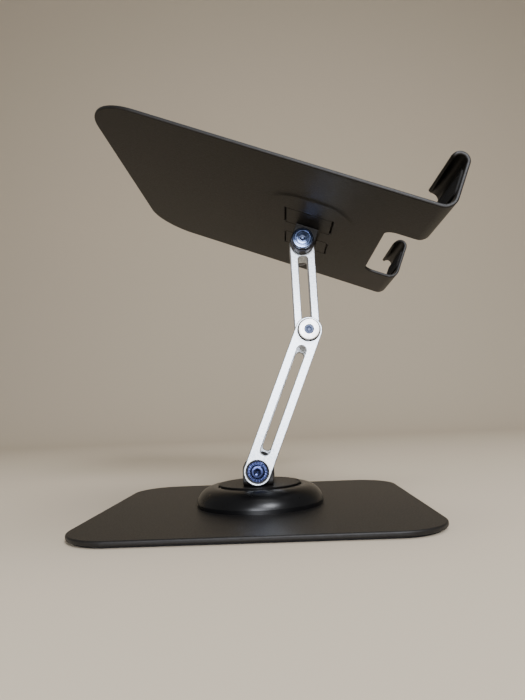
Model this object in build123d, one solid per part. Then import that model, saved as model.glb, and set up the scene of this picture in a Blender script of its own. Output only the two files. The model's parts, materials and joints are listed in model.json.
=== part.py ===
from build123d import *
import math
import os

# Folding, tilting desktop stand: a weighted base with a swivel, two pairs of
# arm links and a sheet-steel tray with two hooked lips. Millimetres, +Z up.
# X runs along the base with the hooks towards +X, Y is the hinge direction,
# and the origin is the centre of the base's underside.

# Base plate and its anti-slip sheet
base_length = 190.0
base_width = 174.0
base_corner_radius = 27.0
base_thickness = 2.5
base_edge_round = 0.9
pad_thickness = 1.2
pad_inset = 2.5

# Swivel ring and turntable
ring_radius = 38.7
ring_height = 11.3
ring_foot_height = 2.2
ring_dome_bulge = 1.15
ring_crest_radius = 29.0
ring_bore_radius = 25.4
ring_wall = 2.6
ring_lip_round = 1.2
ring_post_circle = 31.5
ring_post_radius = 2.6
ring_screw_count = 4
ring_screw_start = 45.0
ring_screw_radius = 1.4
ring_screw_length = 7.0
ring_screw_head_radius = 2.8
ring_screw_head_height = 1.4
turntable_gap = 0.4
turntable_rise = 12.3
turntable_plate = 3.0
turntable_rim = 3.0
turntable_hub_radius = 12.0
turntable_edge_round = 0.25
turntable_flange = 0.6
turntable_groove_height = 1.6
turntable_groove_depth = 1.2
thrust_washer_thickness = 1.0
thrust_washer_inset = 1.5

# Swivel stud and its nut
stud_radius = 4.0
stud_head_radius = 6.5
stud_head_height = 1.6
stud_end_length = 1.2
spring_washer_radius = 6.0
spring_washer_thickness = 0.8
stud_nut_across_flats = 10.0
stud_nut_height = 4.4

# Base bracket, a bent strip with two ears
bracket_thickness = 3.0
bracket_width = 18.0
bracket_bend_radius = 1.5
lower_pivot_height = 24.7
bracket_screw_offset = 9.6
bracket_screw_radius = 1.9
bracket_screw_length = 6.0
bracket_screw_head_radius = 2.7
bracket_screw_head_height = 1.0

# Lower arm, two slotted links outside the bracket ears
lower_arm_length = 88.4
lower_arm_angle = 67.4
lower_link_width = 16.0
lower_link_thickness = 5.5
lower_links_span = 45.0
lower_slot_width = 5.7
lower_slot_margin = 10.0
link_edge_round = 0.6
friction_washer_thickness = 0.6
friction_washer_radius = 7.0
axle_radius = 4.0
counterbore_radius = 6.7
counterbore_depth = 2.2
flange_screw_radius = 6.25
flange_screw_flange = 1.3
flange_tooth_count = 24
flange_tooth_gap = 0.5
flange_tooth_depth = 0.35
flange_tooth_margin = 0.35
flange_screw_crown_radius = 4.2
flange_screw_crown = 1.7
flange_screw_crown_round = 1.0
flange_screw_shank_radius = 2.4
pivot_nut_across_flats = 7.4
pivot_nut_height = 4.0
socket_across_flats = 4.0
socket_depth = 1.6

# Middle pivot
cap_radius = 6.4
cap_height = 4.1
cap_edge_round = 0.5
cap_screw_head_radius = 2.8
cap_screw_recess = 1.9
cap_screw_head_height = 1.6
cap_screw_radius = 1.5
cap_screw_length = 9.0
cap_socket_across_flats = 2.5
cap_socket_depth = 1.0
spacer_radius = 6.5

# Upper arm, one slotted bar between the lower links
upper_arm_length = 57.4
upper_arm_angle = 90.7
upper_bar_width = 15.5
upper_bar_thickness = 16.0
upper_slot_width = 6.2
upper_slot_lower_margin = 7.4
upper_slot_upper_margin = 8.0
upper_slot_corner = 1.8

# Tray brackets, two angles with one ear each
tray_bracket_thickness = 2.8
tray_bracket_end_groove = 0.9
tray_bracket_groove_depth = 1.3
tray_bracket_length = 28.2
tray_bracket_reach = 31.5
tray_bracket_bend = 2.4
ear_width = 15.0
top_pivot_drop = 11.5
top_pivot_to_lip = 69.4
top_washer_radius = 7.3
top_washer_thickness = 1.9
top_spring_radius = 7.2
top_spring_thickness = 1.9
top_washer_round = 0.5
top_screw_neck_radius = 5.4
top_screw_neck_height = 1.3
top_screw_head_radius = 6.45
top_screw_head_height = 4.2
top_screw_head_round = 0.7
top_screw_groove_radius = 4.7
top_screw_groove_width = 0.5
top_screw_groove_depth = 0.3
top_screw_shank_radius = 2.4
top_screw_shank = 12.0

# Tray of bent sheet
tray_sheet = 2.0
tray_tilt = 21.24
tray_length = 194.1
tray_width = 180.0
tray_rear_radius = 29.0
lip_bend_radius = 7.0
lip_height = 30.0
lip_curl_radius = 5.0
lip_curl_turn = 165.0
lip_corner_radius = 5.2
lip_corner_view = 62.0
lip_corner_reach = 2.9
notch_width = 82.6
notch_depth = 24.3
notch_corner_radius = 6.5
emboss_length = 105.0
emboss_width = 51.0
emboss_corner_radius = 19.0
emboss_depth = 0.8
emboss_slope = 1.6
tray_pad_thickness = 1.0
tray_pad_length = 150.0
tray_pad_width = 14.0
tray_pad_edge_margin = 24.0
tray_pad_corner = 6.9
tray_pad_rear_margin = 12.0
hook_pad_thickness = 1.0
hook_pad_height = 14.0
hook_pad_end_margin = 1.2
hook_pad_rise = 8.5
hook_pad_corner = 3.0

# Running clearances
shaft_clearance = 0.05
seat_clearance = 0.1

# Heights and stations worked out from the sizes above
base_top = pad_thickness + base_thickness
turntable_bottom = base_top + thrust_washer_thickness
turntable_top = base_top + turntable_rise
bracket_floor_top = turntable_top + bracket_thickness
link_outer = lower_links_span / 2
link_inner = link_outer - lower_link_thickness
bracket_half_span = link_inner - friction_washer_thickness
bar_half = upper_bar_thickness / 2
ear_inner = bar_half + friction_washer_thickness
ear_outer = ear_inner + tray_bracket_thickness
spacer_inner = bar_half + friction_washer_thickness
sides = {"left": -1, "right": 1}


def polar(length, angle):
    return Vector(length * math.cos(math.radians(angle)), 0, length * math.sin(math.radians(angle)))


lower_pivot = Vector(0, 0, lower_pivot_height)
middle_pivot = lower_pivot + polar(lower_arm_length, lower_arm_angle)
top_pivot = middle_pivot + polar(upper_arm_length, upper_arm_angle)


def hinge_plane(pivot, angle):
    # Local x runs along the link, local z along the hinge axis +Y.
    return Plane(origin=pivot, x_dir=polar(1, angle), z_dir=(0, 1, 0))


lower_plane = hinge_plane(lower_pivot, lower_arm_angle)
upper_plane = hinge_plane(middle_pivot, upper_arm_angle)
# Local x of the tray runs rearwards up the slope, local y along -Y, local z up.
tray_up = polar(1, 90 - tray_tilt)
tray_rearwards = polar(1, 180 - tray_tilt)
tray_origin = top_pivot + tray_up * top_pivot_drop - tray_rearwards * top_pivot_to_lip
tray_plane = Plane(origin=tray_origin, x_dir=tray_rearwards, z_dir=tray_up)
tray_hinge = Plane(origin=top_pivot, x_dir=tray_rearwards, z_dir=(0, 1, 0))


def rounded_slab(length, width, radius, thickness):
    return extrude(RectangleRounded(length, width, radius), thickness)


def post(radius, height):
    return Cylinder(radius, height, align=(Align.CENTER, Align.CENTER, Align.MIN))


def hinge_disc(plane, radius, start, end):
    # A round disc about a hinge axis, from start to end along +Y.
    return plane * Pos(0, 0, min(start, end)) * post(radius, abs(end - start))


def through_bore(plane, radius):
    # A bore about a hinge axis, longer than any stack of pieces on it.
    return hinge_disc(plane, radius, -lower_links_span, lower_links_span)


def hex_prism(flats, height):
    return extrude(RegularPolygon(flats / 2, 6, major_radius=False), height)


def hex_socket(plane, flats, mouth, depth, side):
    low = mouth - depth if side > 0 else mouth
    return plane * Pos(0, 0, low) * hex_prism(flats, depth)


def outer_rim(solid, side):
    # The circle at the solid's outer end, on the given side of the hinge plane.
    circles = solid.edges().filter_by(GeomType.CIRCLE).sort_by(Axis.Y)
    return circles[-1] if side > 0 else circles[0]


def make_base_plate():
    plate = rounded_slab(base_length, base_width, base_corner_radius, base_thickness)
    top_edges = plate.edges().filter_by_position(Axis.Z, base_thickness, base_thickness)
    plate = fillet(top_edges, base_edge_round)
    plate = Pos(0, 0, pad_thickness) * plate
    plate -= Cylinder(stud_radius + shaft_clearance, 3 * base_top)
    for spot in PolarLocations(ring_post_circle, ring_screw_count, ring_screw_start):
        plate -= spot * Cylinder(ring_screw_radius + seat_clearance, 3 * base_top)
        plate -= spot * Pos(0, 0, pad_thickness) * ring_screw_head(seat_clearance)
    plate -= Pos(0, 0, pad_thickness) * stud_head(shaft_clearance)
    return plate


def flush_head(wide, narrow, height, clearance=0.0):
    # A countersunk head whose wide face is at the origin, narrowing upwards.
    head = Cone(wide + clearance, narrow + clearance, height)
    return Pos(0, 0, height / 2) * head


def ring_screw_head(clearance=0.0):
    return flush_head(ring_screw_head_radius, ring_screw_radius, ring_screw_head_height, clearance)


def stud_head(clearance=0.0):
    return flush_head(stud_head_radius, stud_radius, stud_head_height, clearance)


def make_foot_pad():
    inset = 2 * pad_inset
    radius = base_corner_radius - pad_inset
    return rounded_slab(base_length - inset, base_width - inset, radius, pad_thickness)


def make_swivel_ring():
    top = ring_height
    with BuildPart() as ring:
        with BuildSketch(Plane.XZ):
            with BuildLine():
                Polyline((ring_bore_radius, 0), (ring_radius, 0), (ring_radius, ring_foot_height))
                RadiusArc(
                    (ring_radius, ring_foot_height),
                    (ring_crest_radius, top),
                    -ring_dome_bulge * (ring_radius - ring_crest_radius),
                )
                Polyline((ring_crest_radius, top), (ring_bore_radius, top), (ring_bore_radius, 0))
            make_face()
        revolve(axis=Axis.Z)
    ring = ring.part
    rim = ring.edges().filter_by_position(Axis.Z, top - 0.01, top + 0.01).sort_by(SortBy.RADIUS)[0]
    ring = fillet(rim, ring_lip_round)
    hollow_outer = ring_radius - ring_wall
    hollow_inner = ring_bore_radius + ring_wall
    hollow_top = top - ring_wall
    hollow = loft([
        Circle(hollow_outer).face(),
        (Pos(0, 0, ring_foot_height) * Circle(hollow_outer)).face(),
    ])
    hollow += loft([
        (Pos(0, 0, ring_foot_height) * Circle(hollow_outer)).face(),
        (Pos(0, 0, hollow_top) * Circle(ring_crest_radius + ring_wall / 2)).face(),
    ])
    hollow -= Cylinder(hollow_inner, 3 * top)
    ring -= hollow
    for spot in PolarLocations(ring_post_circle, ring_screw_count, ring_screw_start):
        ring += spot * post(ring_post_radius, hollow_top)
    depth = ring_screw_length - base_thickness
    for spot in PolarLocations(ring_post_circle, ring_screw_count, ring_screw_start):
        hole = Cylinder(ring_screw_radius + seat_clearance, 2 * (depth + seat_clearance))
        ring -= spot * hole
    return Pos(0, 0, base_top) * ring


def make_ring_screw(spot):
    shank = post(ring_screw_radius, ring_screw_length)
    return spot * Pos(0, 0, pad_thickness) * (shank + ring_screw_head())


def make_thrust_washer():
    washer = Cylinder(ring_bore_radius - thrust_washer_inset, thrust_washer_thickness)
    washer -= Cylinder(stud_radius + seat_clearance, 3 * thrust_washer_thickness)
    return Pos(0, 0, base_top + thrust_washer_thickness / 2) * washer


def make_swivel_stud():
    stud_top = bracket_floor_top + spring_washer_thickness + stud_nut_height + stud_end_length
    shank = post(stud_radius, stud_top - pad_thickness)
    return Pos(0, 0, pad_thickness) * (stud_head() + shank)


def make_turntable():
    height = turntable_top - turntable_bottom
    radius = ring_bore_radius - turntable_gap
    disc = post(radius, height)
    disc = fillet(disc.edges().filter_by_position(Axis.Z, height, height), turntable_edge_round)
    # A shadow groove runs round the disc just below its top.
    groove = post(2 * radius, turntable_groove_height)
    groove -= Cylinder(radius - turntable_groove_depth, 3 * height)
    disc -= Pos(0, 0, height - turntable_flange - turntable_groove_height) * groove
    hollow = post(radius - turntable_rim, height - turntable_plate)
    hollow -= Cylinder(turntable_hub_radius, 3 * height)
    disc -= hollow
    disc -= Cylinder(stud_radius + shaft_clearance, 3 * height)
    hole_depth = bracket_screw_length - bracket_thickness
    for side in sides.values():
        hole = Cylinder(bracket_screw_radius + seat_clearance, 2 * hole_depth)
        disc -= Pos(0, side * bracket_screw_offset, height) * hole
    return Pos(0, 0, turntable_bottom) * disc


def make_base_bracket():
    rise = lower_pivot_height - turntable_top
    half = bracket_half_span
    strip = Box(bracket_width, 2 * half, rise, align=(Align.CENTER, Align.CENTER, Align.MIN))
    strip += Pos(0, 0, rise) * Rot(90, 0, 0) * Cylinder(bracket_width / 2, 2 * half)
    strip -= Box(2 * bracket_width, 4 * half, bracket_width, align=(Align.CENTER, Align.CENTER, Align.MAX))
    gap = 2 * (half - bracket_thickness)
    well = Box(2 * bracket_width, gap, 4 * rise, align=(Align.CENTER, Align.CENTER, Align.MIN))
    well = fillet(well.edges().filter_by(Axis.X).sort_by(Axis.Z)[:2], bracket_bend_radius)
    strip -= Pos(0, 0, bracket_thickness) * well
    corners = strip.edges().filter_by(Axis.X).filter_by_position(Axis.Z, 0, 0)
    strip = fillet(corners, bracket_bend_radius + bracket_thickness / 2)
    strip -= Pos(0, 0, rise) * Rot(90, 0, 0) * Cylinder(axle_radius + shaft_clearance, 4 * half)
    strip -= Cylinder(stud_radius + shaft_clearance, 4 * bracket_thickness)
    for side in sides.values():
        hole = Cylinder(bracket_screw_radius + seat_clearance, 4 * bracket_thickness)
        strip -= Pos(0, side * bracket_screw_offset, 0) * hole
    return Pos(0, 0, turntable_top) * strip


def make_bracket_screw(side):
    shank_bottom = bracket_floor_top - bracket_screw_length
    shank = post(bracket_screw_radius, bracket_screw_length)
    head = post(bracket_screw_head_radius, bracket_screw_head_height)
    head = fillet(head.edges().sort_by(Axis.Z)[-1], bracket_screw_head_height / 2)
    screw = Pos(0, 0, shank_bottom) * shank + Pos(0, 0, bracket_floor_top) * head
    return Pos(0, side * bracket_screw_offset, 0) * screw


def make_spring_washer():
    washer = Cylinder(spring_washer_radius, spring_washer_thickness)
    washer -= Cylinder(stud_radius + seat_clearance, 3 * spring_washer_thickness)
    return Pos(0, 0, bracket_floor_top + spring_washer_thickness / 2) * washer


def make_stud_nut():
    nut = hex_prism(stud_nut_across_flats, stud_nut_height)
    nut -= Cylinder(stud_radius + shaft_clearance, 3 * stud_nut_height)
    return Pos(0, 0, bracket_floor_top + spring_washer_thickness) * nut


def long_edges(link, half):
    # The straight outline edges on both long sides of a link.
    straight = link.edges().filter_by(Axis.X)
    near = straight.filter_by_position(Axis.Y, -half, -half)
    far = straight.filter_by_position(Axis.Y, half, half)
    return near + far


def make_lower_link(side):
    # The link lies on its hinge plane, from its inner face to its outer face.
    half = lower_link_width / 2
    low = link_inner if side > 0 else -link_outer
    outer = link_outer if side > 0 else -link_outer
    blank = SlotCenterToCenter(lower_arm_length, lower_link_width)
    slot_centres = lower_arm_length - 2 * lower_slot_margin - lower_slot_width
    window = SlotCenterToCenter(slot_centres, lower_slot_width)
    link = extrude(Pos(lower_arm_length / 2, 0) * (blank - window), lower_link_thickness)
    link = fillet(long_edges(link, half), link_edge_round)
    link = Pos(0, 0, low) * link
    for along in (0, lower_arm_length):
        link -= Pos(along, 0, 0) * Cylinder(axle_radius + shaft_clearance, 4 * link_outer)
    link -= Pos(0, 0, outer) * Cylinder(counterbore_radius, 2 * counterbore_depth)
    return lower_plane * link


def make_lower_sleeve(side):
    # A bush through one ear and one link, on which the link turns.
    inner = bracket_half_span - bracket_thickness
    outer = link_outer - counterbore_depth
    sleeve = hinge_disc(lower_plane, axle_radius, side * inner, side * outer)
    return sleeve - through_bore(lower_plane, flange_screw_shank_radius + seat_clearance)


def make_lower_nut(side):
    seat = bracket_half_span - bracket_thickness - seat_clearance
    low = seat - pivot_nut_height if side > 0 else -seat
    nut = lower_plane * Pos(0, 0, low) * hex_prism(pivot_nut_across_flats, pivot_nut_height)
    return nut - through_bore(lower_plane, flange_screw_shank_radius + shaft_clearance)


def flange_tooth_gaps(face):
    # Shallow radial cuts round the flange's outer face, leaving a ring of teeth.
    inner = flange_screw_crown_radius + flange_tooth_margin
    outer = flange_screw_radius - flange_tooth_margin
    cut = Box(outer - inner, flange_tooth_gap, 2 * flange_tooth_depth)
    ring = PolarLocations((inner + outer) / 2, flange_tooth_count)
    return [lower_plane * Pos(0, 0, face) * spot * cut for spot in ring]


def make_flange_screw(side):
    seat = link_outer - counterbore_depth
    flange_top = seat + flange_screw_flange
    crown_top = flange_top + flange_screw_crown
    flange = hinge_disc(lower_plane, flange_screw_radius, side * seat, side * flange_top)
    flange -= flange_tooth_gaps(side * flange_top)
    crown = hinge_disc(lower_plane, flange_screw_crown_radius, side * flange_top, side * crown_top)
    crown = fillet(outer_rim(crown, side), flange_screw_crown_round)
    shank_end = bracket_half_span - bracket_thickness - seat_clearance - pivot_nut_height
    shank = hinge_disc(lower_plane, flange_screw_shank_radius, side * shank_end, side * seat)
    screw = flange + crown + shank
    return screw - hex_socket(lower_plane, socket_across_flats, side * crown_top, socket_depth, side)


def make_friction_washer(plane, inner, side):
    outer = inner + friction_washer_thickness
    washer = hinge_disc(plane, friction_washer_radius, side * inner, side * outer)
    return washer - through_bore(plane, axle_radius + shaft_clearance)


def make_middle_axle():
    axle = hinge_disc(upper_plane, axle_radius, -link_outer, link_outer)
    for side in sides.values():
        inside = link_outer - cap_screw_length - seat_clearance
        axle -= hinge_disc(upper_plane, cap_screw_radius + seat_clearance, side * inside, side * link_outer)
    return axle


def make_middle_spacer(side):
    spacer = hinge_disc(upper_plane, spacer_radius, side * spacer_inner, side * link_inner)
    return spacer - through_bore(upper_plane, axle_radius + shaft_clearance)


def make_middle_cap(side):
    top = link_outer + cap_height
    cap = hinge_disc(upper_plane, cap_radius, side * link_outer, side * top)
    cap = fillet(outer_rim(cap, side), cap_edge_round)
    recess_floor = top - cap_screw_recess
    recess_radius = cap_screw_head_radius + seat_clearance
    cap -= hinge_disc(upper_plane, recess_radius, side * recess_floor, side * 2 * top)
    return cap - through_bore(upper_plane, cap_screw_radius + seat_clearance)


def make_middle_screw(side):
    seat = link_outer + cap_height - cap_screw_recess
    top = seat + cap_screw_head_height
    inside = link_outer - cap_screw_length
    screw = hinge_disc(upper_plane, cap_screw_head_radius, side * seat, side * top)
    screw += hinge_disc(upper_plane, cap_screw_radius, side * inside, side * seat)
    return screw - hex_socket(upper_plane, cap_socket_across_flats, side * top, cap_socket_depth, side)


def make_upper_bar():
    half = upper_bar_width / 2
    blank = SlotCenterToCenter(upper_arm_length, upper_bar_width)
    window_length = upper_arm_length - upper_slot_lower_margin - upper_slot_upper_margin
    window = RectangleRounded(window_length, upper_slot_width, upper_slot_corner)
    window_centre = upper_slot_lower_margin + window_length / 2
    face = Pos(upper_arm_length / 2, 0) * blank - Pos(window_centre, 0) * window
    bar = extrude(face, upper_bar_thickness)
    bar = fillet(long_edges(bar, half), link_edge_round)
    bar = Pos(0, 0, -bar_half) * bar
    for along in (0, upper_arm_length):
        bar -= Pos(along, 0, 0) * Cylinder(axle_radius + shaft_clearance, 4 * bar_half)
    return upper_plane * bar


def make_tray_bracket(side):
    # The ear hangs about the top pivot; the flange is welded flush into the tray's window.
    flange_low = top_pivot_drop - emboss_depth
    flange_top = flange_low + tray_bracket_thickness
    ear = Rectangle(ear_width, flange_top, align=(Align.CENTER, Align.MIN)) + Circle(ear_width / 2)
    bracket = extrude(ear, tray_bracket_thickness)
    reach = tray_bracket_reach - ear_inner
    hung = (Align.CENTER, Align.MAX, Align.MIN)
    bracket += Pos(0, flange_top, 0) * Box(tray_bracket_length, tray_bracket_thickness, reach, align=hung)
    bend = bracket.edges().filter_by(Axis.X).filter_by_position(Axis.Z, 0, 0).sort_by(Axis.Y)[-1]
    bracket = fillet(bend, tray_bracket_bend)
    bracket -= Cylinder(axle_radius + shaft_clearance, 8 * tray_bracket_thickness)
    bracket = Pos(0, 0, ear_inner) * bracket
    if side < 0:
        bracket = mirror(bracket, about=Plane.XY)
    return tray_hinge * bracket


def make_top_axle():
    half = ear_outer
    axle = hinge_disc(tray_hinge, axle_radius, -half, half)
    return axle - through_bore(tray_hinge, top_screw_shank_radius + seat_clearance)


def make_top_washer(side):
    top = ear_outer + top_washer_thickness
    washer = hinge_disc(tray_hinge, top_washer_radius, side * ear_outer, side * top)
    washer = fillet(outer_rim(washer, side), top_washer_round)
    return washer - through_bore(tray_hinge, top_screw_shank_radius + seat_clearance)


def make_top_spring(side):
    seat = ear_outer + top_washer_thickness
    spring = hinge_disc(tray_hinge, top_spring_radius, side * seat, side * (seat + top_spring_thickness))
    spring = fillet(outer_rim(spring, side), top_washer_round)
    return spring - through_bore(tray_hinge, top_screw_shank_radius + seat_clearance)


def make_top_screw(side):
    seat = ear_outer + top_washer_thickness + top_spring_thickness
    head_seat = seat + top_screw_neck_height
    top = head_seat + top_screw_head_height
    head = hinge_disc(tray_hinge, top_screw_head_radius, side * head_seat, side * top)
    head = fillet(outer_rim(head, side), top_screw_head_round)
    groove_floor = top - top_screw_groove_depth
    groove = hinge_disc(tray_hinge, top_screw_groove_radius, side * groove_floor, side * top)
    groove -= through_bore(tray_hinge, top_screw_groove_radius - top_screw_groove_width)
    inside = seat - top_screw_shank
    neck = hinge_disc(tray_hinge, top_screw_neck_radius, side * seat, side * head_seat)
    shank = hinge_disc(tray_hinge, top_screw_shank_radius, side * inside, side * seat)
    screw = head - groove + neck + shank
    return screw - hex_socket(tray_hinge, socket_across_flats, side * top, socket_depth, side)


def lip_section():
    # Side profile of the bent sheet: floor, bend, upright and inward curl.
    sheet = tray_sheet
    curl_centre = (lip_curl_radius, lip_height - lip_curl_radius)
    end_angle = 180 - lip_curl_turn
    outer_end = (
        curl_centre[0] + lip_curl_radius * math.cos(math.radians(end_angle)),
        curl_centre[1] + lip_curl_radius * math.sin(math.radians(end_angle)),
    )
    inner_curl = lip_curl_radius - sheet
    inner_end = (
        curl_centre[0] + inner_curl * math.cos(math.radians(end_angle)),
        curl_centre[1] + inner_curl * math.sin(math.radians(end_angle)),
    )
    inner_bend = lip_bend_radius - sheet
    floor_end = notch_depth + notch_corner_radius
    with BuildSketch(Plane.XZ) as section:
        with BuildLine():
            Line((floor_end, 0), (lip_bend_radius, 0))
            RadiusArc((lip_bend_radius, 0), (0, lip_bend_radius), lip_bend_radius)
            Line((0, lip_bend_radius), (0, curl_centre[1]))
            CenterArc(curl_centre, lip_curl_radius, 180, -lip_curl_turn)
            Line(outer_end, inner_end)
            CenterArc(curl_centre, inner_curl, end_angle, lip_curl_turn)
            Line((sheet, curl_centre[1]), (sheet, lip_bend_radius))
            RadiusArc((sheet, lip_bend_radius), (lip_bend_radius, sheet), -inner_bend)
            Line((lip_bend_radius, sheet), (floor_end, sheet))
            Line((floor_end, sheet), (floor_end, 0))
        make_face()
    return section.sketch


def make_tray():
    sheet = tray_sheet
    lips = extrude(lip_section(), tray_width / 2, both=True)
    # Each lip's free corners are rounded, seen square to the middle of the rounding.
    lip_width = (tray_width - notch_width) / 2
    lip_centre = (tray_width + notch_width) / 4
    curl_centre = Vector(lip_curl_radius, 0, lip_height - lip_curl_radius)
    corner_plane = Plane(
        origin=curl_centre, x_dir=polar(1, lip_corner_view - 90), z_dir=polar(1, lip_corner_view)
    )
    keep = Part()
    for side in sides.values():
        outline = RectangleRounded(4 * lip_height, lip_width, lip_corner_radius)
        spot = Pos(lip_corner_reach - 2 * lip_height, side * lip_centre, 0)
        keep += corner_plane * spot * extrude(outline, lip_height, both=True)
    curls = lips & keep
    below_curls = lip_height - 2 * lip_curl_radius
    upright = lips & Box(2 * notch_depth, tray_width, below_curls, align=(Align.CENTER, Align.CENTER, Align.MIN))
    plate = Pos(notch_depth, 0, 0) * Box(
        tray_length - notch_depth, tray_width, sheet, align=(Align.MIN, Align.CENTER, Align.MIN)
    )
    plate = fillet(plate.edges().filter_by(Axis.Z).sort_by(Axis.X)[-2:], tray_rear_radius)
    tray = plate + upright + curls
    mouth = RectangleRounded(2 * notch_depth, notch_width, notch_corner_radius)
    tray -= Pos(0, 0, -sheet) * extrude(mouth, 2 * lip_height)
    # Shallow stamped seat for the brackets, sunk from above and proud below.
    sink_top = RectangleRounded(emboss_width, emboss_length, emboss_corner_radius)
    shrink = 2 * emboss_slope
    sink_radius = emboss_corner_radius - emboss_slope
    sink_floor = RectangleRounded(emboss_width - shrink, emboss_length - shrink, sink_radius)
    centre = top_pivot_to_lip
    proud = loft([
        (Pos(centre, 0, 0) * sink_top).face(),
        (Pos(centre, 0, -emboss_depth) * sink_floor).face(),
    ])
    sunk = loft([
        (Pos(centre, 0, sheet) * sink_top).face(),
        (Pos(centre, 0, sheet - emboss_depth) * sink_floor).face(),
    ])
    tray = tray + proud - sunk
    # One window for each bracket flange, with a groove below along both ends of the flange.
    window_width = tray_bracket_reach - ear_inner
    groove_length = tray_bracket_reach - ear_outer
    groove_offset = (tray_bracket_length + tray_bracket_end_groove) / 2
    for side in sides.values():
        window = Box(tray_bracket_length, window_width, 6 * sheet)
        tray -= Pos(centre, side * (ear_inner + window_width / 2), 0) * window
        for end in (-1, 1):
            groove = Box(tray_bracket_end_groove, groove_length, 2 * tray_bracket_groove_depth)
            spot = Pos(centre + end * groove_offset, side * (ear_outer + groove_length / 2), -emboss_depth)
            tray -= spot * groove
    return tray_plane * tray


def make_tray_pad(side):
    start = tray_length - tray_pad_rear_margin - tray_pad_length
    centre = start + tray_pad_length / 2
    pad = rounded_slab(tray_pad_length, tray_pad_width, tray_pad_corner, tray_pad_thickness)
    across = tray_width / 2 - tray_pad_edge_margin
    return tray_plane * Pos(centre, side * across, tray_sheet) * pad


def make_hook_pad(side):
    centre = (tray_width + notch_width) / 4
    width = (tray_width - notch_width) / 2 - 2 * hook_pad_end_margin
    pad = rounded_slab(hook_pad_height, width, hook_pad_corner, hook_pad_thickness)
    pad = Rot(0, 90, 0) * pad
    return tray_plane * Pos(tray_sheet, side * centre, hook_pad_rise + hook_pad_height / 2) * pad


nodes = {
    "base_plate": make_base_plate(),
    "foot_pad": make_foot_pad(),
    "swivel_ring": make_swivel_ring(),
    "thrust_washer": make_thrust_washer(),
    "swivel_stud": make_swivel_stud(),
    "turntable": make_turntable(),
    "base_bracket": make_base_bracket(),
    "swivel_spring_washer": make_spring_washer(),
    "swivel_nut": make_stud_nut(),
    "middle_axle": make_middle_axle(),
    "upper_bar": make_upper_bar(),
    "top_axle": make_top_axle(),
    "tray": make_tray(),
}
for index, spot in enumerate(PolarLocations(ring_post_circle, ring_screw_count, ring_screw_start)):
    nodes[f"ring_screw_{index + 1}"] = make_ring_screw(spot)
for name, side in sides.items():
    nodes[f"bracket_screw_{name}"] = make_bracket_screw(side)
    nodes[f"lower_link_{name}"] = make_lower_link(side)
    nodes[f"lower_sleeve_{name}"] = make_lower_sleeve(side)
    nodes[f"lower_screw_{name}"] = make_flange_screw(side)
    nodes[f"lower_nut_{name}"] = make_lower_nut(side)
    nodes[f"lower_washer_{name}"] = make_friction_washer(lower_plane, bracket_half_span, side)
    nodes[f"middle_spacer_{name}"] = make_middle_spacer(side)
    nodes[f"middle_washer_{name}"] = make_friction_washer(upper_plane, bar_half, side)
    nodes[f"middle_cap_{name}"] = make_middle_cap(side)
    nodes[f"middle_screw_{name}"] = make_middle_screw(side)
    nodes[f"top_friction_washer_{name}"] = make_friction_washer(tray_hinge, bar_half, side)
    nodes[f"tray_bracket_{name}"] = make_tray_bracket(side)
    nodes[f"top_washer_{name}"] = make_top_washer(side)
    nodes[f"top_spring_{name}"] = make_top_spring(side)
    nodes[f"top_screw_{name}"] = make_top_screw(side)
    nodes[f"tray_pad_{name}"] = make_tray_pad(side)
    nodes[f"hook_pad_{name}"] = make_hook_pad(side)

os.makedirs("parts", exist_ok=True)
for name, solid in nodes.items():
    export_step(solid, f"parts/{name}.step")
print(len(nodes), "nodes written")
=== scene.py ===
import json
import math
import bpy
from mathutils import Matrix, Vector


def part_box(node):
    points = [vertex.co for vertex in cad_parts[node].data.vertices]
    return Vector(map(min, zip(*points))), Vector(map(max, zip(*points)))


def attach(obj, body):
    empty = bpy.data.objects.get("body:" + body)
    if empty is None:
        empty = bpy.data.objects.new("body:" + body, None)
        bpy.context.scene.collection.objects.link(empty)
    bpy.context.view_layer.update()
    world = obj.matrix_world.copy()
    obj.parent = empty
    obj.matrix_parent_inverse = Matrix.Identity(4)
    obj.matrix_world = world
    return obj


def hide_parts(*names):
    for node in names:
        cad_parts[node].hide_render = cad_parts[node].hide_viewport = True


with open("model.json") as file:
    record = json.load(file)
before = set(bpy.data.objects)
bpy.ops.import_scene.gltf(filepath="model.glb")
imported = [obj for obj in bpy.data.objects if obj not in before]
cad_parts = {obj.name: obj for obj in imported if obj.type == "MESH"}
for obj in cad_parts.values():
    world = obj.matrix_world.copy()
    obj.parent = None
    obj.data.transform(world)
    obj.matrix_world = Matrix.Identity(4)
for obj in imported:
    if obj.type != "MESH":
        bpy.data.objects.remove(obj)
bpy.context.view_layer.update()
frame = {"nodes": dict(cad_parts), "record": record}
record = frame["record"]
jointSpots = {joint["name"]: Vector(joint["pos_m"]) for joint in record["behaviour"]["joints"]}
trayUp = Vector(next(m["axis"] for m in record["mounts"] if m["name"] == "tray_rest_left"))
trayTilt = math.atan2(trayUp.x, trayUp.z)
bodyOf = {node: body for body, nodes in record["behaviour"]["bodies"].items() for node in nodes}
sides = ("left", "right")
mm = 0.001
mergeGap = 0.005 * mm
flatTurn = math.radians(0.4)  # faces that meet flatter than this become one
sharpTurn = math.radians(38)  # edges that turn more than this get rounded
noiseLow, noiseHigh = 0.3, 0.7  # where most of a noise pattern lies
mixFirst, mixSecond, mixColour = 6, 7, 2  # colour sockets of a Mix node: two in, one out
facing = 0.9  # a normal with this much of a direction faces that way
smoothTurn = math.radians(32)  # modelled pieces shade smooth up to this
roundedTurn = math.radians(40)  # and copies with rounded edges up to this
print("frame loaded:", len(bodyOf), "nodes")


def selectOnly(*objects):
    bpy.ops.object.select_all(action="DESELECT")
    for obj in objects:
        obj.select_set(True)
    bpy.context.view_layer.objects.active = objects[0]


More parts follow.
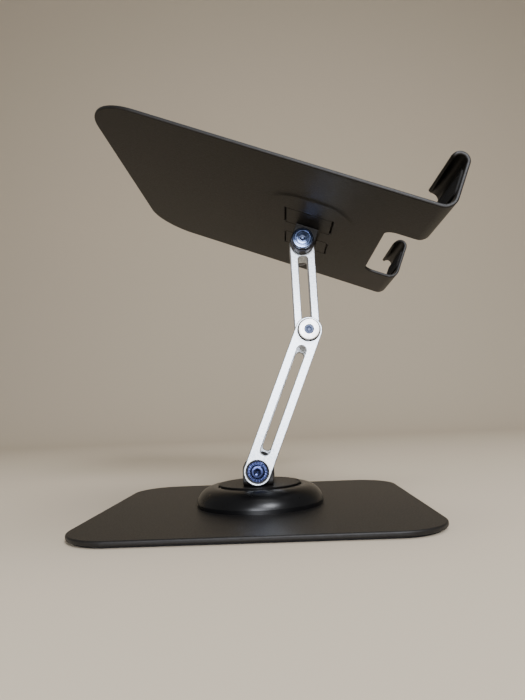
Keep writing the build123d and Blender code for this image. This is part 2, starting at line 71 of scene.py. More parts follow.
def hexLinear(code):
    parts = [int(code[i:i + 2], 16) / 255 for i in (1, 3, 5)]
    return tuple(p / 12.92 if p <= 0.04045 else ((p + 0.055) / 1.055) ** 2.4 for p in parts) + (1.0,)


def addNode(material, kind, inputs=None, **settings):
    node = material.node_tree.nodes.new(kind)
    for key, value in settings.items():
        setattr(node, key, value)
    for name, value in (inputs or {}).items():
        if isinstance(value, bpy.types.NodeSocket):
            material.node_tree.links.new(value, node.inputs[name])
        else:
            node.inputs[name].default_value = value
    return node


def startMaterial(name):
    material = bpy.data.materials.new(name)
    material.use_nodes = True
    shader = material.node_tree.nodes["Principled BSDF"]
    coords = addNode(material, "ShaderNodeTexCoord").outputs["Object"]
    return material, shader, coords


def wire(material, shader, **sockets):
    for name, value in sockets.items():
        material.node_tree.links.new(value, shader.inputs[name.replace("_", " ")])


# Powder coat: baked polyester powder on steel, a fine pebbled skin that breaks up a soft sheen
powderCoat = {"dark": "#0d0c0c", "light": "#191715", "pebbleMm": 0.9,
              "rough": (0.42, 0.52), "bumpMm": 0.16, "bump": 0.55, "specular": 0.3}


def makePowderCoat():
    material, shader, coords = startMaterial("blackPowderCoat")
    pebble = addNode(material, "ShaderNodeTexNoise",
                     {"Vector": coords, "Scale": 1000 / powderCoat["pebbleMm"], "Detail": 2.0, "Roughness": 0.55})
    tone = addNode(material, "ShaderNodeMapRange",
                   {"Value": pebble.outputs["Fac"], "From Min": noiseLow, "From Max": noiseHigh})
    colour = addNode(material, "ShaderNodeMix",
                     {"Factor": tone.outputs[0], mixFirst: hexLinear(powderCoat["dark"]),
                      mixSecond: hexLinear(powderCoat["light"])}, data_type="RGBA")
    low, high = powderCoat["rough"]
    rough = addNode(material, "ShaderNodeMapRange",
                    {"Value": pebble.outputs["Fac"], "From Min": noiseLow, "From Max": noiseHigh,
                     "To Min": low, "To Max": high})
    bump = addNode(material, "ShaderNodeBump", {"Height": pebble.outputs["Fac"], "Strength": powderCoat["bump"],
                                                "Distance": powderCoat["bumpMm"] * mm})
    shader.inputs["Specular IOR Level"].default_value = powderCoat["specular"]
    wire(material, shader, Base_Color=colour.outputs[mixColour], Roughness=rough.outputs[0], Normal=bump.outputs[0])
    return material


# Moulded ABS ring: near black, smooth from the tool, with a broad soft gloss
ringPlastic = {"colour": "#060607", "spotMm": 12.0,
               "rough": (0.26, 0.34), "bumpMm": 0.02, "bump": 0.3, "specular": 0.35}


def makeRingPlastic():
    material, shader, coords = startMaterial("blackMouldedAbs")
    spot = addNode(material, "ShaderNodeTexNoise",
                   {"Vector": coords, "Scale": 1000 / ringPlastic["spotMm"], "Detail": 4.0, "Roughness": 0.6})
    low, high = ringPlastic["rough"]
    rough = addNode(material, "ShaderNodeMapRange",
                    {"Value": spot.outputs["Fac"], "From Min": noiseLow, "From Max": noiseHigh,
                     "To Min": low, "To Max": high})
    bump = addNode(material, "ShaderNodeBump", {"Height": spot.outputs["Fac"], "Strength": ringPlastic["bump"],
                                                "Distance": ringPlastic["bumpMm"] * mm})
    shader.inputs["Base Color"].default_value = hexLinear(ringPlastic["colour"])
    shader.inputs["Specular IOR Level"].default_value = ringPlastic["specular"]
    wire(material, shader, Roughness=rough.outputs[0], Normal=bump.outputs[0])
    return material


# Clear-anodised aluminium, fine-blasted first: pale, silky, with a very fine sparkle
# Blasting leaves a finer grit than this; it is drawn coarser so that it shows
blastedAluminium = {"dark": "#a9b3c0", "light": "#f8fcff", "gritMm": 1.1,
                    "rough": (0.36, 0.50), "bumpMm": 0.03, "bump": 0.5}


def makeBlastedAluminium():
    material, shader, coords = startMaterial("blastedAnodisedAluminium")
    grit = addNode(material, "ShaderNodeTexNoise",
                   {"Vector": coords, "Scale": 1000 / blastedAluminium["gritMm"], "Detail": 3.0, "Roughness": 0.65})
    tone = addNode(material, "ShaderNodeMapRange",
                   {"Value": grit.outputs["Fac"], "From Min": noiseLow, "From Max": noiseHigh})
    colour = addNode(material, "ShaderNodeMix",
                     {"Factor": tone.outputs[0], mixFirst: hexLinear(blastedAluminium["dark"]),
                      mixSecond: hexLinear(blastedAluminium["light"])}, data_type="RGBA")
    low, high = blastedAluminium["rough"]
    rough = addNode(material, "ShaderNodeMapRange",
                    {"Value": grit.outputs["Fac"], "From Min": noiseLow, "From Max": noiseHigh,
                     "To Min": low, "To Max": high})
    bump = addNode(material, "ShaderNodeBump", {"Height": grit.outputs["Fac"], "Strength": blastedAluminium["bump"],
                                                "Distance": blastedAluminium["bumpMm"] * mm})
    shader.inputs["Metallic"].default_value = 1.0
    wire(material, shader, Base_Color=colour.outputs[mixColour], Roughness=rough.outputs[0], Normal=bump.outputs[0])
    return material


# Turned metal: lathe rings about a pivot catch the light in circles; a lathe's are finer, drawn coarser to show
# Zinc steel: one plating drawn in three brightnesses as painted light and shade, darker at the swivel and lower
# pivots, darkest at the middle pivot, lighter at the tray pivot
turnedFinishes = {
    "turnedAluminium": {"colour": "#f6f6f4", "groove": "#e6e6e6", "rough": 0.42, "ringMm": 1.3},
    "blueZincSteel": {"colour": "#3e466a", "groove": "#252c4a", "rough": 0.20, "ringMm": 1.1},
    "brightZincSteel": {"colour": "#7686ac", "groove": "#3d4a6b", "rough": 0.18, "ringMm": 1.3},
    "greyZincSteel": {"colour": "#333846", "groove": "#1e222c", "rough": 0.26, "ringMm": 0.9},
    "blackenedSteel": {"colour": "#4a4a50", "groove": "#303036", "rough": 0.30, "ringMm": 1.3},
}
turnedSmudge = {"scale": 400.0, "smoother": 0.05, "rougher": 0.07}  # finger marks vary the roughness
ringScale = 0.314 * 1000  # wave texture scale that gives rings 1 mm apart


def makeTurnedMetal(finish, spot, name):
    values = turnedFinishes[finish]
    material, shader, coords = startMaterial(name)
    centred = addNode(material, "ShaderNodeMapping", {"Vector": coords, "Location": -spot})
    rings = addNode(material, "ShaderNodeTexWave",
                    {"Vector": centred.outputs[0], "Scale": ringScale / values["ringMm"],
                     "Distortion": 0.0, "Detail": 0.0},
                    wave_type="RINGS", rings_direction="Y")
    smudge = addNode(material, "ShaderNodeTexNoise",
                     {"Vector": coords, "Scale": turnedSmudge["scale"], "Detail": 3.0})
    rough = addNode(material, "ShaderNodeMapRange",
                    {"Value": smudge.outputs["Fac"], "From Min": noiseLow, "From Max": noiseHigh,
                     "To Min": values["rough"] - turnedSmudge["smoother"],
                     "To Max": values["rough"] + turnedSmudge["rougher"]})
    colour = addNode(material, "ShaderNodeMix",
                     {"Factor": rings.outputs["Fac"], mixFirst: hexLinear(values["groove"]),
                      mixSecond: hexLinear(values["colour"])}, data_type="RGBA")
    shader.inputs["Metallic"].default_value = 1.0
    wire(material, shader, Base_Color=colour.outputs[mixColour], Roughness=rough.outputs[0])
    return material


# Silicone and nylon: soft matt blacks with a dusty bloom
softBlacks = {
    "blackSilicone": {"colour": "#111111", "bloom": "#1c1b1b", "speckMm": 1.2, "rough": 0.78, "specular": 0.2},
    "blackNylon": {"colour": "#131313", "bloom": "#1c1c1c", "speckMm": 0.8, "rough": 0.55, "specular": 0.35},
}
softBloom = {"low": 0.35, "high": 0.75, "bump": 0.4, "bumpMm": 0.03}


def makeSoftBlack(name):
    values = softBlacks[name]
    material, shader, coords = startMaterial(name)
    speck = addNode(material, "ShaderNodeTexNoise",
                    {"Vector": coords, "Scale": 1000 / values["speckMm"], "Detail": 4.0, "Roughness": 0.6})
    tone = addNode(material, "ShaderNodeMapRange",
                   {"Value": speck.outputs["Fac"], "From Min": softBloom["low"], "From Max": softBloom["high"]})
    colour = addNode(material, "ShaderNodeMix",
                     {"Factor": tone.outputs[0], mixFirst: hexLinear(values["colour"]),
                      mixSecond: hexLinear(values["bloom"])}, data_type="RGBA")
    bump = addNode(material, "ShaderNodeBump", {"Height": speck.outputs["Fac"], "Strength": softBloom["bump"],
                                                "Distance": softBloom["bumpMm"] * mm})
    shader.inputs["Roughness"].default_value = values["rough"]
    shader.inputs["Specular IOR Level"].default_value = values["specular"]
    wire(material, shader, Base_Color=colour.outputs[mixColour], Normal=bump.outputs[0])
    return material


powder = makePowderCoat()
mouldedAbs = makeRingPlastic()
aluminium = makeBlastedAluminium()
silicone = makeSoftBlack("blackSilicone")
nylon = makeSoftBlack("blackNylon")
capMetal = makeTurnedMetal("turnedAluminium", jointSpots["middle_pivot"], "turnedAluminiumMiddle")
steelAt = {}
# Each pivot's screws take the lit or shaded copy of the zinc steel, painted to match the light they get there
for name, finish in (("base_swivel", "blueZincSteel"), ("lower_arm_pivot", "blueZincSteel"),
                     ("middle_pivot", "greyZincSteel"), ("tray_tilt", "brightZincSteel")):
    steelAt[name] = makeTurnedMetal(finish, jointSpots[name], finish + name.title().replace("_", ""))
blackSteel = makeTurnedMetal("blackenedSteel", jointSpots["tray_tilt"], "blackenedSteelTrayTilt")
print("materials made")


def finishOf(node):
    if node.startswith("middle_cap"):
        return capMetal
    if node.startswith(("lower_link", "upper_bar", "middle_spacer")):
        return aluminium
    if node == "swivel_ring":
        return mouldedAbs
    if node in ("base_plate", "turntable", "base_bracket", "tray") or node.startswith("tray_bracket"):
        return powder
    if "pad" in node:
        return silicone
    if node == "thrust_washer" or node.startswith(("lower_washer", "middle_washer", "top_friction_washer")):
        return nylon
    if node.startswith(("lower_screw", "lower_nut", "lower_sleeve")):
        return steelAt["lower_arm_pivot"]
    if node.startswith("middle_"):
        return steelAt["middle_pivot"]
    if node.startswith(("top_washer", "top_spring")):
        return blackSteel
    if node.startswith("top_"):
        return steelAt["tray_tilt"]
    return steelAt["base_swivel"]


for node, obj in frame["nodes"].items():
    obj.data.materials.clear()
    obj.data.materials.append(finishOf(node))
print("nodes finished:", len(frame["nodes"]))


def place(obj, turn, spot):
    obj.rotation_euler = turn
    obj.location = spot
    selectOnly(obj)
    bpy.ops.object.transform_apply(location=True, rotation=True, scale=True)


def pick(obj, kind, test):
    # Selects faces by (centre, normal) or edges by their two ends, and stays in edit mode
    selectOnly(obj)
    bpy.ops.object.mode_set(mode="EDIT")
    bpy.ops.mesh.select_mode(type=kind)
    bpy.ops.mesh.select_all(action="DESELECT")
    bpy.ops.object.mode_set(mode="OBJECT")
    spots = [v.co for v in obj.data.vertices]
    if kind == "FACE":
        for face in obj.data.polygons:
            face.select = test(face.center, face.normal)
    else:
        for edge in obj.data.edges:
            edge.select = test(*(spots[i] for i in edge.vertices))
    bpy.ops.object.mode_set(mode="EDIT")


def bevelPicked(offset, segments):
    bpy.ops.mesh.bevel(offset=offset, segments=segments)
    bpy.ops.object.mode_set(mode="OBJECT")


def block(name, size, spot=(0, 0, 0)):
    bpy.ops.object.select_all(action="DESELECT")
    bpy.ops.mesh.primitive_cube_add(size=1.0, location=spot, scale=size)
    obj = bpy.context.object
    obj.name = name
    bpy.ops.object.transform_apply(location=True, rotation=True, scale=True)
    return obj


def roundSlab(name, size, spot, corner, edge):
    # A slab with round corners in plan and softened edges on its top
    obj = block(name, size, spot)
    top = spot[2] + size[2] / 2
    pick(obj, "EDGE", lambda a, b: abs(a.z - b.z) > size[2] / 2)
    bevelPicked(corner, segments=12)
    pick(obj, "EDGE", lambda a, b: min(a.z, b.z) > top - edge * 0.01)
    bevelPicked(edge, segments=3)
    return obj


def finishPiece(obj, node, material):
    selectOnly(obj)
    bpy.ops.object.mode_set(mode="EDIT")
    bpy.ops.mesh.select_all(action="SELECT")
    bpy.ops.mesh.remove_doubles(threshold=mergeGap)
    bpy.ops.mesh.normals_make_consistent(inside=False)
    bpy.ops.object.mode_set(mode="OBJECT")
    bpy.ops.object.shade_smooth_by_angle(angle=smoothTurn)
    obj.data.materials.clear()
    obj.data.materials.append(material)
    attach(obj, bodyOf[node])
    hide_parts(node)


def copyTo(template, name, turn, spot):
    # A copy with its own mesh, put at its place
    obj = template.copy()
    obj.data = template.data.copy()
    obj.name = name
    bpy.context.scene.collection.objects.link(obj)
    place(obj, turn, spot)
    return obj


def discard(obj):
    selectOnly(obj)
    bpy.ops.object.delete()


# Anti-slip sheet under the base: die-cut silicone with a raised rim round a sunk field
footSheet = {"corner": 24.5, "edge": 0.35, "rim": 5.0, "sink": 0.25}


def makeFootSheet():
    low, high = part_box("foot_pad")
    size = high - low
    sheet = roundSlab("footSheet", size, (low + high) / 2, footSheet["corner"] * mm, footSheet["edge"] * mm)
    pick(sheet, "FACE", lambda centre, normal: normal.z < -facing)
    bpy.ops.mesh.inset(thickness=footSheet["rim"] * mm, depth=0)
    bpy.ops.mesh.extrude_region_move(TRANSFORM_OT_translate={"value": (0, 0, footSheet["sink"] * mm)})
    bpy.ops.object.mode_set(mode="OBJECT")
    finishPiece(sheet, "foot_pad", silicone)


makeFootSheet()
print("foot sheet made")

# Ribbed silicone pads: strips on the tray and small ones inside the hooks
padKinds = {
    "tray_pad": {"length": 150.0, "thick": 1.0, "corner": 6.9, "edge": 0.25, "rim": 1.1, "sink": 0.35, "pitch": 2.2,
                 "ribWidth": 1.0, "ribRoot": 0.1, "ribBelow": 0.04, "ribGap": 0.3, "ribEdge": 0.18, "turn": 0.0},
    "hook_pad": {"length": 14.0, "thick": 1.0, "corner": 3.0, "edge": 0.25, "rim": 1.1, "sink": 0.35, "pitch": 2.3,
                 "ribWidth": 1.1, "ribRoot": 0.1, "ribBelow": 0.04, "ribGap": 0.3, "ribEdge": 0.18, "turn": -90.0},
}


def makeRibbedPads(kind):
    values = padKinds[kind]
    low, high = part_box(kind + "_left")
    length, thick = values["length"] * mm, values["thick"] * mm
    rim, sink, corner = values["rim"] * mm, values["sink"] * mm, values["corner"] * mm
    width = high.y - low.y
    pad = roundSlab(kind, (length, width, thick), (0, 0, 0), corner, values["edge"] * mm)
    pick(pad, "FACE", lambda centre, normal: normal.z > facing and centre.z > thick * 0.49)
    bpy.ops.mesh.inset(thickness=rim, depth=0)
    bpy.ops.mesh.extrude_region_move(TRANSFORM_OT_translate={"value": (0, 0, -sink)})
    bpy.ops.object.mode_set(mode="OBJECT")
    ribs = int((width - 2 * rim) / (values["pitch"] * mm))
    ribHigh = sink + values["ribRoot"] * mm
    ribTop = thick / 2 - values["ribBelow"] * mm
    pieces = [pad]
    for index in range(ribs):
        across = (index - (ribs - 1) / 2) * values["pitch"] * mm
        beyond = max(0.0, abs(across) - (width / 2 - corner))  # ribs shorten where the pad's ends are round
        short = corner - math.sqrt(corner ** 2 - beyond ** 2)
        size = (length - 2 * (rim + short + values["ribGap"] * mm), values["ribWidth"] * mm, ribHigh)
        rib = block(kind + "Rib", size, (0, across, ribTop - ribHigh / 2))
        pick(rib, "EDGE", lambda a, b: min(a.z, b.z) > ribTop - ribHigh / 2)
        bevelPicked(values["ribEdge"] * mm, segments=2)
        pieces.append(rib)
    selectOnly(*pieces)
    bpy.ops.object.join()
    for side in sides:
        node = kind + "_" + side
        low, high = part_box(node)
        turn = (0, trayTilt + math.radians(values["turn"]), 0)
        piece = copyTo(pad, kind.title().replace("_", "") + side.title(), turn, (low + high) / 2)
        finishPiece(piece, node, silicone)
    discard(pad)


for kind in padKinds:
    makeRibbedPads(kind)
print("pads made")


turnedSteps = 72  # corners of a turned piece's circle
socketTip = 0.1  # share of the socket's width left at the tip of its cone


def arc(centre, radius, start, end, steps=4):
    # Points of a round stretch in an outline, angles in degrees
    angles = [math.radians(start + (end - start) * i / steps) for i in range(steps + 1)]
    return [(centre[0] + radius * math.cos(t), centre[1] + radius * math.sin(t)) for t in angles]


def turned(name, outline, closed=False):
    # Turns an outline of (radius, height) in mm round the Y axis, height 0 at the outer end and rising towards -Y
    # A closed outline ends where it began and makes a ring, an open one gets end faces
    radius, height = outline[0]
    bpy.ops.object.select_all(action="DESELECT")
    bpy.ops.mesh.primitive_circle_add(vertices=turnedSteps, radius=radius * mm, location=(0, -height * mm, 0),
                                      rotation=(math.radians(90), 0, 0))
    obj = bpy.context.object
    obj.name = name
    bpy.ops.object.transform_apply(location=True, rotation=True, scale=True)
    bpy.ops.object.mode_set(mode="EDIT")
    bpy.ops.mesh.select_mode(type="EDGE")
    bpy.ops.mesh.select_all(action="SELECT")
    for nextRadius, nextHeight in outline[1:]:
        bpy.ops.mesh.extrude_edges_move(TRANSFORM_OT_translate={"value": (0, (height - nextHeight) * mm, 0)})
        grow = nextRadius / radius
        bpy.ops.transform.resize(value=(grow, 1, grow), center_override=(0, -nextHeight * mm, 0))
        radius, height = nextRadius, nextHeight
    if not closed:
        bpy.ops.mesh.edge_face_add()
        bpy.ops.object.mode_set(mode="OBJECT")
        start = -outline[0][1] * mm
        pick(obj, "EDGE", lambda a, b: max(abs(a.y - start), abs(b.y - start)) < 1e-7)
        bpy.ops.mesh.edge_face_add()
    bpy.ops.mesh.select_all(action="SELECT")
    bpy.ops.mesh.remove_doubles(threshold=0.000001)
    bpy.ops.mesh.normals_make_consistent(inside=False)
    bpy.ops.object.mode_set(mode="OBJECT")
    return obj


def cutSocket(obj, flats, depth, cone):
    # Hex socket from the outer end, with a drill's cone at its bottom
    bpy.ops.object.select_all(action="DESELECT")
    bpy.ops.mesh.primitive_cylinder_add(vertices=6, radius=flats * mm / 2 / math.cos(math.radians(30)),
                                        depth=2 * depth * mm, location=(0, 0, 0),
                                        rotation=(math.radians(90), 0, 0))
    tool = bpy.context.object
    bpy.ops.object.transform_apply(location=True, rotation=True, scale=True)
    pick(tool, "FACE", lambda centre, normal: normal.y > facing)
    bpy.ops.mesh.extrude_region_move(TRANSFORM_OT_translate={"value": (0, cone * mm, 0)})
    bpy.ops.transform.resize(value=(socketTip, 1, socketTip), center_override=(0, 0, 0))
    bpy.ops.object.mode_set(mode="OBJECT")
    selectOnly(obj)
    socket = obj.modifiers.new("hexSocket", "BOOLEAN")
    socket.operation = "DIFFERENCE"
    socket.object = tool
    bpy.ops.object.modifier_apply(modifier="hexSocket")
    discard(tool)


def setBothSides(template, kind, name, material):
    # The left one points to -Y as modelled, the right one is turned about
    for side, turn in zip(sides, (0, 180)):
        node = kind + "_" + side
        low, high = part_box(node)
        outer = max(abs(low.y), abs(high.y))
        spot = Vector(((low.x + high.x) / 2, -outer if side == "left" else outer, (low.z + high.z) / 2))
        piece = copyTo(template, name + side.title(), (0, 0, math.radians(turn)), spot)
        finishPiece(piece, node, material)
    discard(template)


# Middle caps: a turned disc with a screw recess, on a black nylon ring drawn wider than the disc; the ring's dark
# edge round the disc is painted shade for the cap's shadowed wall and the shadow it casts
capParts = {"high": 4.1, "washerRadius": 6.9, "washerThick": 1.5, "washerEdge": 0.3,
            "discRadius": 6.25, "discEdge": 0.5, "recessRadius": 2.95, "recessDepth": 1.9}


def makeCaps():
    radius, edge = capParts["washerRadius"], capParts["washerEdge"]
    bottom, seam = -capParts["high"], capParts["washerThick"] - capParts["high"]
    # The part of this ring beyond the disc is painted shade round the cap
    shadeWasher = turned("capWasher", [(radius, bottom)] + arc((radius - edge, seam - edge), edge, 0, 90))
    setBothSides(shadeWasher, "middle_cap", "middleCapWasher", nylon)
    radius, edge, hole = capParts["discRadius"], capParts["discEdge"], capParts["recessRadius"]
    outline = [(radius, seam)] + arc((radius - edge, -edge), edge, 0, 90)
    disc = turned("capDisc", outline + [(hole, 0), (hole, -capParts["recessDepth"])])
    setBothSides(disc, "middle_cap", "middleCap", capMetal)


makeCaps()
print("caps made")

# Lower pivot screws: a round crown with a hex socket on a flange with a ring of teeth
flangeScrew = {"long": 14.0, "shank": 2.4, "flange": 6.0, "flangeThick": 1.3, "flangeEdge": 0.25,
               "crown": 4.2, "crownHigh": 1.7, "crownRound": 1.0,
               "socketFlats": 4.0, "socketDepth": 2.2, "socketCone": 0.9,
               "teeth": 20, "toothWide": 0.8, "toothSink": 0.5, "toothEdge": 0.25, "ringMargin": 0.25,
               "washerInner": 6.03, "washerOuter": 6.66, "washerHigh": 0.9, "washerEdge": 0.08}


def makeFlangeScrews():
    v = flangeScrew
    face = -v["crownHigh"]
    seat = face - v["flangeThick"]
    inner, outer = v["crown"] + v["ringMargin"], v["flange"] - v["ringMargin"]
    sunk = face - v["toothSink"]
    outline = [(v["shank"], -v["long"]), (v["shank"], seat), (v["flange"], seat)]
    outline += arc((v["flange"] - v["flangeEdge"], face - v["flangeEdge"]), v["flangeEdge"], 0, 90)
    outline += [(outer, face), (outer, sunk), (inner, sunk), (inner, face), (v["crown"], face)]
    outline += arc((v["crown"] - v["crownRound"], -v["crownRound"]), v["crownRound"], 0, 90, steps=6)
    screw = turned("flangeScrew", outline)
    cutSocket(screw, v["socketFlats"], v["socketDepth"], v["socketCone"])
    size = (v["toothWide"] * mm, 2 * v["toothSink"] * mm, (outer - inner) * mm)
    tooth = block("flangeTooth", size, (0, -sunk * mm, (inner + outer) / 2 * mm))
    pick(tooth, "EDGE", lambda a, b: abs(a.z - b.z) > size[2] / 2 and max(a.y, b.y) < -sunk * mm)
    bevelPicked(v["toothEdge"] * mm, segments=2)
    step = 2 * math.pi / v["teeth"]
    ring = [copyTo(tooth, "flangeTooth", (0, index * step, 0), (0, 0, 0)) for index in range(v["teeth"])]
    discard(tooth)
    selectOnly(screw, *ring)
    bpy.ops.object.join()
    setBothSides(screw, "lower_screw", "lowerScrew", steelAt["lower_arm_pivot"])
    # A thin dark nylon ring fills the gap round the flange: painted shade, standing in for the shadow in that gap
    inner, outer, top = v["washerInner"], v["washerOuter"], seat + v["washerHigh"]
    outline = [(inner, seat), (outer, seat), (outer, top), (inner, top), (inner, seat)]
    shadeWasher = turned("flangeWasher", outline, closed=True)
    pick(shadeWasher, "EDGE", lambda a, b: max(a.y, b.y) < -(top - 0.01) * mm)
    bevelPicked(v["washerEdge"] * mm, segments=2)
    setBothSides(shadeWasher, "lower_screw", "lowerWasher", nylon)


makeFlangeScrews()
print("lower screws made")

# Tray pivot screws: a low domed head with a turned groove and a hex socket, on a neck
domedScrew = {"long": 17.5, "shank": 2.4, "neck": 5.4, "neckHigh": 1.3,
              "head": 6.45, "headHigh": 4.2, "rimRound": 0.6, "dome": 0.55, "domeShares": (0.85, 0.7, 0.55, 0.4),
              "groove": 4.7, "grooveWide": 0.6, "grooveDeep": 0.4,
              "socketFlats": 4.0, "socketDepth": 2.2, "socketCone": 0.9}


def makeDomedScrews():
    v = domedScrew
    under = -v["headHigh"]
    seat = under - v["neckHigh"]
    dome = lambda r: -v["dome"] * (r / v["head"]) ** 2
    rim = v["head"] - v["rimRound"]
    outline = [(v["shank"], -v["long"]), (v["shank"], seat), (v["neck"], seat), (v["neck"], under)]
    outline += arc((rim, under + v["rimRound"]), v["rimRound"], -90, 0)
    outline += arc((rim, dome(rim) - v["rimRound"]), v["rimRound"], 0, 90)
    ring = v["groove"] - v["grooveWide"]
    outline += [(v["groove"], dome(v["groove"])), (v["groove"], dome(v["groove"]) - v["grooveDeep"])]
    outline += [(ring, dome(v["groove"]) - v["grooveDeep"]), (ring, dome(ring))]
    outline += [(ring * share, dome(ring * share)) for share in v["domeShares"]]
    screw = turned("domedScrew", outline)
    cutSocket(screw, v["socketFlats"], v["socketDepth"], v["socketCone"])
    setBothSides(screw, "top_screw", "topScrew", steelAt["tray_tilt"])


makeDomedScrews()
print("tray screws made")

# Edge rounding: coated and blasted edges are never sharp, so these pieces get a small bevel, in mm; the tray has
# a shape of its own, below
edgeRounds = {"tray": None, "base_plate": 0.7, "base_bracket": 0.4, "tray_bracket": 0.4, "turntable": 0.3,
              "lower_link": 0.45, "upper_bar": 0.45, "middle_spacer": 0.3,
              "middle_screw": 0.15, "top_spring": 0.25, "top_washer": 0.25, "lower_nut": 0.25,
              "swivel_nut": 0.4, "bracket_screw": 0.2}


# The tray's rim is rounder than its windows; the lips are bent anew from their uprights, with free corners that are
# round in the flat sheet, more so beside the notch
trayShape = {"rim": 0.75, "window": 0.4, "sheet": 2.0, "lipHigh": 30.0, "cutAt": 16.0,
             "curl": 5.0, "curlTurn": 165.0, "curlSteps": 33, "notchCorner": 9.0, "sideCorner": 2.5,
             "windowFrom": 35.0, "windowTo": 105.0, "windowWide": 58.0}
nearMm = 0.01  # how close a point counts as on a plane


def shapeTray(piece):
    v = trayShape
    along = Vector((-trayUp.z, 0, trayUp.x))
    spots = [vertex.co for vertex in piece.data.vertices]
    start = min(co.dot(along) for co in spots)
    floor = min(co.dot(trayUp) for co in spots if co.dot(along) - start < v["lipHigh"] * mm)
    local = lambda co: ((co.dot(along) - start) / mm, co.y / mm, (co.dot(trayUp) - floor) / mm)
    world = lambda u, w: along * (start + u * mm) + trayUp * (floor + w * mm)
    bendTop = v["lipHigh"] - v["curl"]
    # The lips are cut off, drawn up to where the curl starts and spun inward
    bpy.ops.object.mode_set(mode="EDIT")
    bpy.ops.mesh.select_all(action="SELECT")
    bpy.ops.mesh.bisect(plane_co=world(0, v["cutAt"]), plane_no=trayUp, clear_outer=True, use_fill=True)
    bpy.ops.object.mode_set(mode="OBJECT")
    pick(piece, "FACE", lambda centre, normal: abs(local(centre)[2] - v["cutAt"]) < nearMm)
    bpy.ops.mesh.extrude_region_move(TRANSFORM_OT_translate={"value": trayUp * (bendTop - v["cutAt"]) * mm})
    bpy.ops.mesh.spin(steps=v["curlSteps"], angle=math.radians(v["curlTurn"]),
                      center=world(v["curl"], bendTop), axis=(0, 1, 0))
    bpy.ops.object.mode_set(mode="OBJECT")
    curled = [(index, *local(vertex.co)) for index, vertex in enumerate(piece.data.vertices)]
    curled = [item for item in curled if item[3] > bendTop - nearMm]
    # Each end of the curl moves inward by what the round corner takes off at that point of the flat sheet
    ends = (min(abs(y) for _, u, y, w in curled), max(abs(y) for _, u, y, w in curled))
    shifts = {}
    for index, u, y, w in curled:
        turn = v["curlTurn"] - 180 + math.degrees(math.atan2(w - bendTop, u - v["curl"])) % 360
        atNotch = abs(y) < sum(ends) / 2
        corner = v["notchCorner"] if atNotch else v["sideCorner"]
        short = corner - math.radians(max(0.0, turn)) * (v["curl"] - v["sheet"] / 2)
        cut = corner - math.sqrt(corner ** 2 - short ** 2) if short > 0 else 0.0
        inward = math.copysign(cut, y if atNotch else -y)
        shifts.setdefault(round(inward, 3), []).append(index)
    print("lips bent:", len(curled), "points")
    for shift, group in shifts.items():
        bpy.ops.object.mode_set(mode="EDIT")
        bpy.ops.mesh.select_mode(type="VERT")
        bpy.ops.mesh.select_all(action="DESELECT")
        bpy.ops.object.mode_set(mode="OBJECT")
        for index in group:
            piece.data.vertices[index].select = True
        bpy.ops.object.mode_set(mode="EDIT")
        bpy.ops.transform.translate(value=(0, shift * mm, 0))
        bpy.ops.object.mode_set(mode="OBJECT")
    bpy.ops.object.mode_set(mode="EDIT")
    bpy.ops.mesh.select_all(action="SELECT")
    bpy.ops.mesh.remove_doubles(threshold=mergeGap)
    bpy.ops.mesh.normals_make_consistent(inside=False)
    bpy.ops.mesh.dissolve_limited(angle_limit=flatTurn)
    for zone in ("rim", "window"):  # two widths of edge round
        bpy.ops.mesh.select_mode(type="EDGE")
        bpy.ops.mesh.select_all(action="DESELECT")
        bpy.ops.mesh.edges_select_sharp(sharpness=sharpTurn)
        bpy.ops.object.mode_set(mode="OBJECT")
        for edge in piece.data.edges:
            u, y, w = local(piece.data.vertices[edge.vertices[0]].co)
            inWindows = v["windowFrom"] < u < v["windowTo"] and abs(y) < v["windowWide"]
            if inWindows != (zone == "window"):
                edge.select = False
        bpy.ops.object.mode_set(mode="EDIT")
        bpy.ops.mesh.bevel(offset=v[zone] * mm, segments=4, clamp_overlap=False)
    bpy.ops.object.mode_set(mode="OBJECT")


def makeRoundedCopy(node, width):
    source = frame["nodes"][node]
    words = node.split("_")
    piece = bpy.data.objects.new(words[0] + "".join(w.title() for w in words[1:]) + "Rounded", source.data.copy())
    bpy.context.scene.collection.objects.link(piece)
    selectOnly(piece)
    bpy.ops.mesh.customdata_custom_splitnormals_clear()
    bpy.ops.object.mode_set(mode="EDIT")
    bpy.ops.mesh.select_all(action="SELECT")
    bpy.ops.mesh.remove_doubles(threshold=mergeGap)
    bpy.ops.mesh.dissolve_limited(angle_limit=flatTurn)
    bpy.ops.object.mode_set(mode="OBJECT")
    if width is None:
        shapeTray(piece)
    else:
        bevel = piece.modifiers.new("edgeRound", "BEVEL")
        bevel.width = width * mm
        bevel.segments = 3
        bevel.limit_method = "ANGLE"
        bevel.angle_limit = sharpTurn
        bevel.use_clamp_overlap = False
        bpy.ops.object.modifier_apply(modifier="edgeRound")
    bpy.ops.object.shade_smooth_by_angle(angle=roundedTurn)
    even = piece.modifiers.new("flatFaces", "WEIGHTED_NORMAL")  # large flats stay flat beside their round edges
    even.keep_sharp = True
    bpy.ops.object.modifier_apply(modifier="flatFaces")
    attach(piece, bodyOf[node])
    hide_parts(node)


for kind, width in edgeRounds.items():
    for node in [n for n in bodyOf if n == kind or n in (kind + "_left", kind + "_right")]:
        makeRoundedCopy(node, width)
print("edges rounded")

# Floor and backdrop: one pale sheet that sweeps up behind the stand
sweep = {"width": 6.0, "near": -2.5, "far": 1.6, "height": 3.0, "bend": 0.8, "under": 0.2, "slack": 0.01,
         "colour": "#cdc0ab", "rough": 0.9, "specular": 0.1}


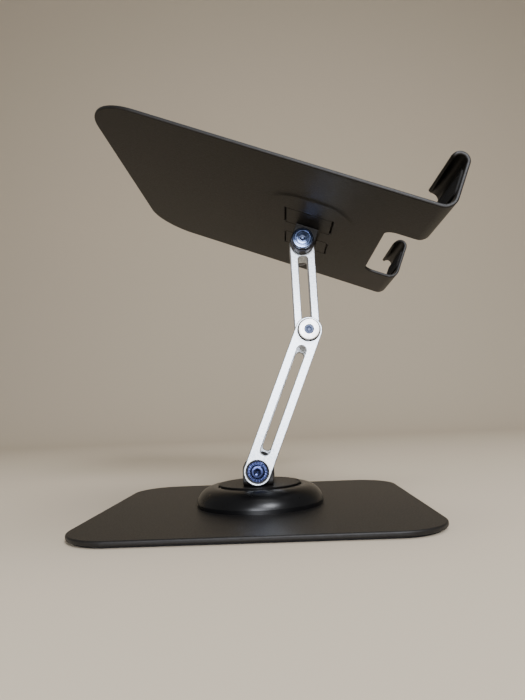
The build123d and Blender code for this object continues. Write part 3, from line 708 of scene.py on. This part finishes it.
def makeSweep():
    bpy.ops.object.select_all(action="DESELECT")
    bpy.ops.mesh.primitive_plane_add(size=1.0, location=(0, 0, 0))
    obj = bpy.context.object
    obj.name = "paleSweep"
    obj.scale = (sweep["width"], sweep["far"] - sweep["near"], 1)
    obj.location = (0, (sweep["far"] + sweep["near"]) / 2, -sweep["under"] * mm)  # a hair below the foot sheet
    bpy.ops.object.transform_apply(location=True, rotation=True, scale=True)
    back = sweep["far"] - sweep["slack"]
    pick(obj, "EDGE", lambda a, b: min(a.y, b.y) > back)
    bpy.ops.mesh.extrude_region_move(TRANSFORM_OT_translate={"value": (0, 0, sweep["height"])})
    bpy.ops.object.mode_set(mode="OBJECT")
    pick(obj, "EDGE", lambda a, b: min(a.y, b.y) > back and max(abs(a.z), abs(b.z)) < sweep["slack"])
    bevelPicked(sweep["bend"], segments=24)
    bpy.ops.object.shade_smooth()
    material, shader, _ = startMaterial("paleMattPaper")
    shader.inputs["Base Color"].default_value = hexLinear(sweep["colour"])
    shader.inputs["Roughness"].default_value = sweep["rough"]
    shader.inputs["Specular IOR Level"].default_value = sweep["specular"]
    obj.data.materials.append(material)


makeSweep()
print("sweep made")

# Lights: a soft key from the upper right, a broad front sheet for the metal and a weak top sheet
lamps = {
    "key": {"spot": (0.42, -1.15, 0.80), "aim": (0.02, 0, 0.11), "size": 0.35, "watts": 20.0, "tint": "#f6f8ff"},
    "front": {"spot": (-0.05, -1.40, 0.20), "aim": (0.02, 0, 0.11), "size": 0.50, "watts": 20.0, "tint": "#f4f7ff"},
    "top": {"spot": (0.30, -0.25, 1.5), "aim": (0, 0, 0), "size": 0.9, "watts": 10.0, "tint": "#ffffff"},
}
studio = {"tint": "#f0eeea", "strength": 0.28}


def makeLamp(name, values):
    data = bpy.data.lights.new(name, "AREA")
    data.energy = values["watts"]
    data.size = values["size"]
    data.color = hexLinear(values["tint"])[:3]
    lamp = bpy.data.objects.new(name, data)
    bpy.context.scene.collection.objects.link(lamp)
    lamp.location = values["spot"]
    lamp.rotation_euler = (Vector(values["aim"]) - lamp.location).to_track_quat("-Z", "Y").to_euler()


for name, values in lamps.items():
    makeLamp(name, values)
world = bpy.data.worlds.new("softStudio")
bpy.context.scene.world = world
world.use_nodes = True
backdrop = world.node_tree.nodes["Background"]
backdrop.inputs["Color"].default_value = hexLinear(studio["tint"])
backdrop.inputs["Strength"].default_value = studio["strength"]
print("lights placed")

# Camera solved from the plates' edges in the photograph
view = {"spotMm": (16.6, -332.3, 59.8), "yaw": 1.97, "pitch": 6.58, "roll": 2.41, "focalPx": 526.0, "framePx": 700.0,
        "sensorMm": 36.0, "clipStart": 0.01}


def makeCamera():
    data = bpy.data.cameras.new("viewCamera")
    data.sensor_width = view["sensorMm"]
    data.lens = view["focalPx"] * data.sensor_width / view["framePx"]
    data.clip_start = view["clipStart"]
    camera = bpy.data.objects.new("viewCamera", data)
    bpy.context.scene.collection.objects.link(camera)
    turn = (Matrix.Rotation(math.radians(view["yaw"]), 3, "Z") @ Matrix.Rotation(math.radians(view["pitch"]), 3, "X")
            @ Matrix.Rotation(math.radians(view["roll"]), 3, "Y"))
    level = Matrix.Rotation(math.radians(90), 3, "X")  # a camera looks along -Z, the stand is seen along +Y
    camera.matrix_world = (turn @ level).to_4x4()
    camera.location = Vector(view["spotMm"]) * mm
    bpy.context.scene.camera = camera


makeCamera()
print("camera placed")
